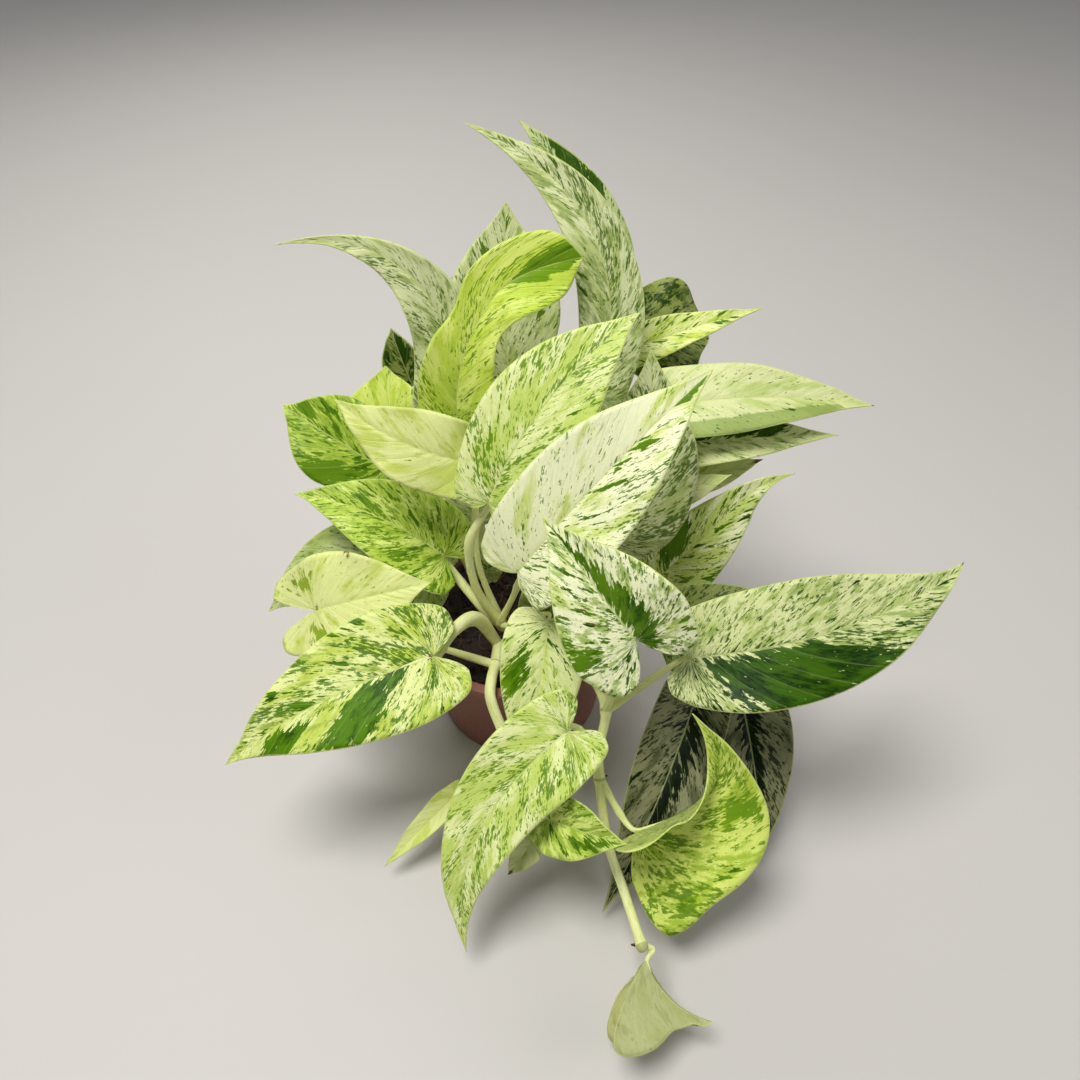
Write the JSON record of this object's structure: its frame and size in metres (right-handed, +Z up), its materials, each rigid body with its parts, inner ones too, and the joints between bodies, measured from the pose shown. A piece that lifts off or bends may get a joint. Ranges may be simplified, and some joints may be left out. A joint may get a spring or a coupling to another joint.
{
  "type": "potted house plant",
  "caption": "Variegated heart-leaved pothos with arching and trailing leaves in a round nursery pot of soil.",
  "frame": {"origin": "centre of the pot's flat underside", "axes": "+Z straight up out of the pot, -Y towards the front, where the long stem trails, +X to the right as seen from the front"},
  "size_m": [0.3301, 0.3131, 0.2972],
  "materials": {
    "pot": "matte terracotta-brown moulded plastic",
    "soil": "dark fibrous peat potting soil",
    "vine": "smooth pale yellow-green living stem",
    "leaf": "soft satin leaf, cream and green marbled"
  },
  "bodies": {
    "root": {"pot": "pot", "soil": "soil", "vine_centre": "vine", "vine_front": "vine", "vine_front_right": "vine", "vine_left": "vine", "vine_back_left": "vine", "vine_back_right": "vine", "vine_right": "vine", "leaf_back_left_arching": "leaf", "leaf_back_lime_curled": "leaf", "leaf_back_upright": "leaf", "leaf_top_arching": "leaf", "leaf_pale_left": "leaf", "leaf_centre_speckled": "leaf", "leaf_centre_white": "leaf", "leaf_centre_grey": "leaf", "leaf_right_cream": "leaf", "leaf_right_green_patch": "leaf", "leaf_front_heart": "leaf", "leaf_right_large": "leaf", "leaf_right_lime": "leaf", "leaf_right_hidden": "leaf", "leaf_front_hanging": "leaf", "leaf_front_furled": "leaf", "leaf_front_folded": "leaf", "leaf_front_brown_tip": "leaf", "leaf_front_twisted": "leaf", "leaf_shaded_hanging": "leaf", "leaf_shaded_right": "leaf", "leaf_left_large": "leaf", "leaf_left_yellow": "leaf", "leaf_left_marbled": "leaf", "leaf_left_dark": "leaf", "leaf_left_lime": "leaf", "leaf_back_left_small": "leaf", "leaf_left_grey": "leaf", "leaf_back_sliver": "leaf", "leaf_back_right_dark": "leaf", "leaf_back_right_narrow": "leaf", "leaf_top_second": "leaf", "leaf_back_right_low": "leaf", "leaf_front_upright": "leaf", "leaf_front_inner": "leaf", "leaf_trailing_end": "leaf", "leaf_inner_grey": "leaf", "leaf_inner_marbled": "leaf", "leaf_right_pale_tip": "leaf", "leaf_right_blush_tip": "leaf"}
  },
  "joints": []
}
